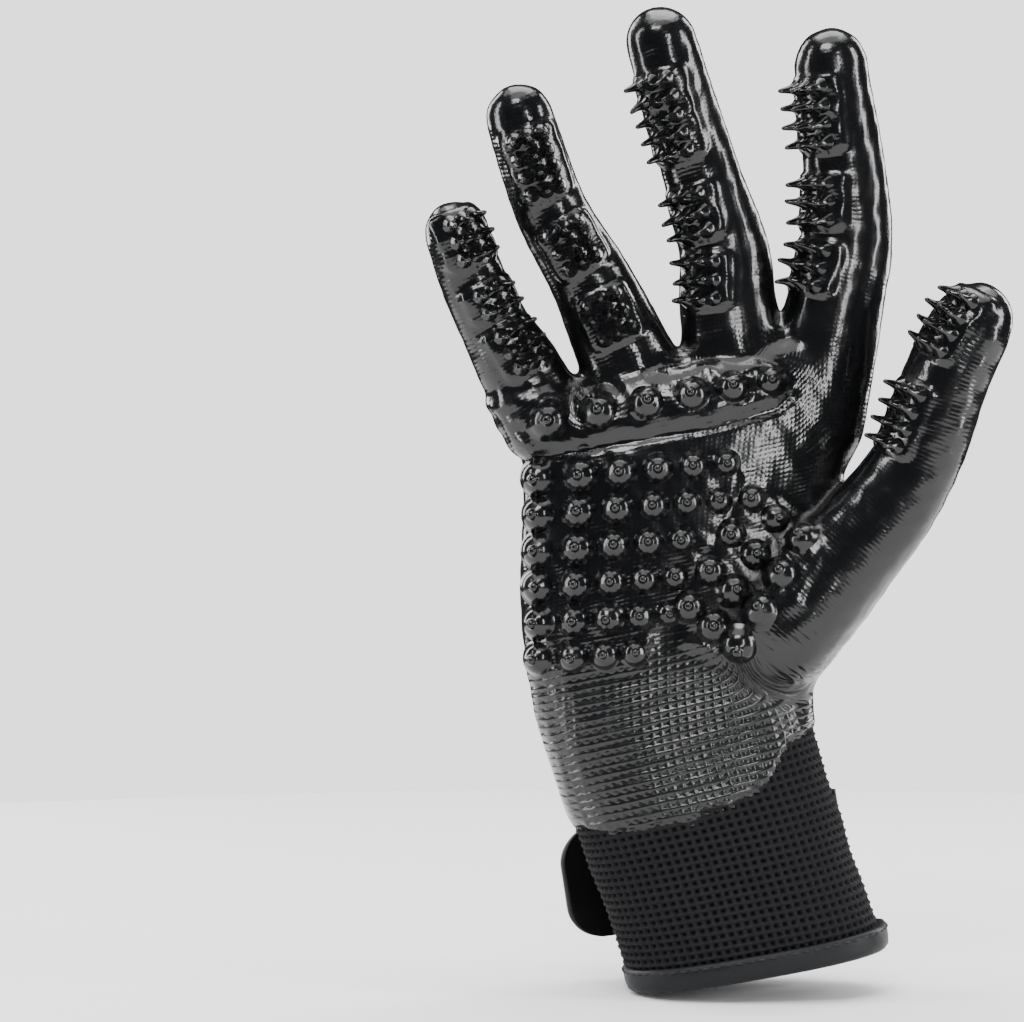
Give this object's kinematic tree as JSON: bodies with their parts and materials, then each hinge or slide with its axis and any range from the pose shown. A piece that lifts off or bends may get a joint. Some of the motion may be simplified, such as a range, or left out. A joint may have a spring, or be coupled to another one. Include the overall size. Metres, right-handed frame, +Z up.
{
  "type": "pet grooming glove",
  "caption": "Right-hand pet grooming glove: black knit dipped in glossy rubber, soft spikes along the fingers and thumb, nubs on the palm, waffle cuff and a peel-off wrist strap.",
  "frame": {"origin": "centre of the cuff's opening, on the middle line of the hem", "axes": "+Z up the hand from the wrist to the fingertips, -Y out of the palm, +Y out of the back of the hand, +X toward the thumb"},
  "size_m": [0.1522, 0.0627, 0.2574],
  "materials": {
    "black_knit": "fine matte knit",
    "cuff_waffle_knit": "elastic waffle knit, matte",
    "dipped_rubber": "glossy dipped rubber",
    "binding": "smooth coated tape, satin",
    "strap_rubber": "matte moulded rubber",
    "green_emblem": "moulded, satin",
    "thread": "sewing thread",
    "fastener_tape": "hook-and-loop tape"
  },
  "bodies": {
    "hand": {"knit_hand": "black_knit", "knit_cuff": "cuff_waffle_knit", "palm_coating": "dipped_rubber", "knuckle_nub_pad": "dipped_rubber", "palm_nub_pad": "dipped_rubber", "thumb_ball_nub_pad": "dipped_rubber", "hem_binding": "binding", "hem_stitching": "thread", "slit_binding": "binding", "strap_loop_tape": "fastener_tape", "strap_anchor": "strap_rubber"},
    "little_proximal": {"little_proximal_knit": "black_knit", "little_proximal_coating": "dipped_rubber", "little_proximal_spike_pad": "dipped_rubber"},
    "little_middle": {"little_middle_knit": "black_knit", "little_middle_coating": "dipped_rubber", "little_middle_spike_pad": "dipped_rubber"},
    "little_distal": {"little_distal_knit": "black_knit", "little_distal_coating": "dipped_rubber", "little_distal_spike_pad": "dipped_rubber"},
    "ring_proximal": {"ring_proximal_knit": "black_knit", "ring_proximal_coating": "dipped_rubber", "ring_proximal_spike_pad": "dipped_rubber"},
    "ring_middle": {"ring_middle_knit": "black_knit", "ring_middle_coating": "dipped_rubber", "ring_middle_spike_pad": "dipped_rubber"},
    "ring_distal": {"ring_distal_knit": "black_knit", "ring_distal_coating": "dipped_rubber", "ring_distal_spike_pad": "dipped_rubber"},
    "middle_proximal": {"middle_proximal_knit": "black_knit", "middle_proximal_coating": "dipped_rubber", "middle_proximal_spike_pad": "dipped_rubber"},
    "middle_middle": {"middle_middle_knit": "black_knit", "middle_middle_coating": "dipped_rubber", "middle_middle_spike_pad": "dipped_rubber"},
    "middle_distal": {"middle_distal_knit": "black_knit", "middle_distal_coating": "dipped_rubber", "middle_distal_spike_pad": "dipped_rubber"},
    "index_proximal": {"index_proximal_knit": "black_knit", "index_proximal_coating": "dipped_rubber", "index_proximal_spike_pad": "dipped_rubber"},
    "index_middle": {"index_middle_knit": "black_knit", "index_middle_coating": "dipped_rubber", "index_middle_spike_pad": "dipped_rubber"},
    "index_distal": {"index_distal_knit": "black_knit", "index_distal_coating": "dipped_rubber", "index_distal_spike_pad": "dipped_rubber"},
    "thumb_proximal": {"thumb_proximal_knit": "black_knit", "thumb_proximal_coating": "dipped_rubber", "thumb_proximal_spike_pad": "dipped_rubber"},
    "thumb_distal": {"thumb_distal_knit": "black_knit", "thumb_distal_coating": "dipped_rubber", "thumb_distal_spike_pad": "dipped_rubber"},
    "strap": {"strap_backing": "strap_rubber", "strap_hook_tape": "fastener_tape", "strap_badge": "strap_rubber", "strap_stitching": "thread", "strap_emblem": "green_emblem"}
  },
  "joints": [
    {"name": "little_knuckle", "type": "hinge", "parent": "hand", "child": "little_proximal", "pos_m": [-0.0615, 0, 0.1535], "axis": [0.8559, 0.1391, 0.498], "range_deg": [0, 38]},
    {"name": "little_middle_joint", "type": "hinge", "parent": "little_proximal", "child": "little_middle", "pos_m": [-0.0686, -0.001, 0.1656], "axis": [0.8695, 0.1383, 0.4742], "range_deg": [0, 30]},
    {"name": "little_tip_joint", "type": "hinge", "parent": "little_middle", "child": "little_distal", "pos_m": [-0.0753, -0.0035, 0.18], "axis": [0.9046, 0.1372, 0.4035], "range_deg": [0, 30]},
    {"name": "ring_knuckle", "type": "hinge", "parent": "hand", "child": "ring_proximal", "pos_m": [-0.0351, 0, 0.1601], "axis": [0.912, -0.0174, 0.4099], "range_deg": [0, 38]},
    {"name": "ring_middle_joint", "type": "hinge", "parent": "ring_proximal", "child": "ring_middle", "pos_m": [-0.0432, -0.001, 0.1776], "axis": [0.8915, -0.0174, 0.4527], "range_deg": [0, 30]},
    {"name": "ring_tip_joint", "type": "hinge", "parent": "ring_middle", "child": "ring_distal", "pos_m": [-0.0546, -0.004, 0.198], "axis": [0.9132, -0.0172, 0.4071], "range_deg": [0, 30]},
    {"name": "middle_knuckle", "type": "hinge", "parent": "hand", "child": "middle_proximal", "pos_m": [-0.0075, 0, 0.1715], "axis": [0.9943, 0.0174, 0.1052], "range_deg": [0, 40]},
    {"name": "middle_middle_joint", "type": "hinge", "parent": "middle_proximal", "child": "middle_middle", "pos_m": [-0.0086, -0.001, 0.1865], "axis": [0.9821, 0.0174, 0.1876], "range_deg": [0, 30]},
    {"name": "middle_tip_joint", "type": "hinge", "parent": "middle_middle", "child": "middle_distal", "pos_m": [-0.0156, -0.004, 0.209], "axis": [0.953, 0.0173, 0.3024], "range_deg": [0, 30]},
    {"name": "index_knuckle", "type": "hinge", "parent": "hand", "child": "index_proximal", "pos_m": [0.0207, 0, 0.1725], "axis": [0.9821, -0.0349, -0.1849], "range_deg": [0, 40]},
    {"name": "index_middle_joint", "type": "hinge", "parent": "index_proximal", "child": "index_middle", "pos_m": [0.0237, -0.001, 0.1885], "axis": [0.9971, -0.0347, -0.0676], "range_deg": [0, 30]},
    {"name": "index_tip_joint", "type": "hinge", "parent": "index_middle", "child": "index_distal", "pos_m": [0.0224, -0.004, 0.211], "axis": [0.9943, -0.0345, 0.1004], "range_deg": [0, 30]},
    {"name": "thumb_knuckle", "type": "hinge", "parent": "hand", "child": "thumb_proximal", "pos_m": [0.0372, -0.014, 0.1253], "axis": [0.3479, -0.8759, -0.3344], "range_deg": [0, 25]},
    {"name": "thumb_tip_joint", "type": "hinge", "parent": "thumb_proximal", "child": "thumb_distal", "pos_m": [0.0484, -0.018, 0.1544], "axis": [0.3806, -0.8757, -0.2971], "range_deg": [0, 35]},
    {"name": "strap_peel", "type": "hinge", "parent": "hand", "child": "strap", "pos_m": [0.01871, 0.0249, 0.0283], "axis": [0.1736, 0, -0.9848], "range_deg": [0, 120]}
  ]
}
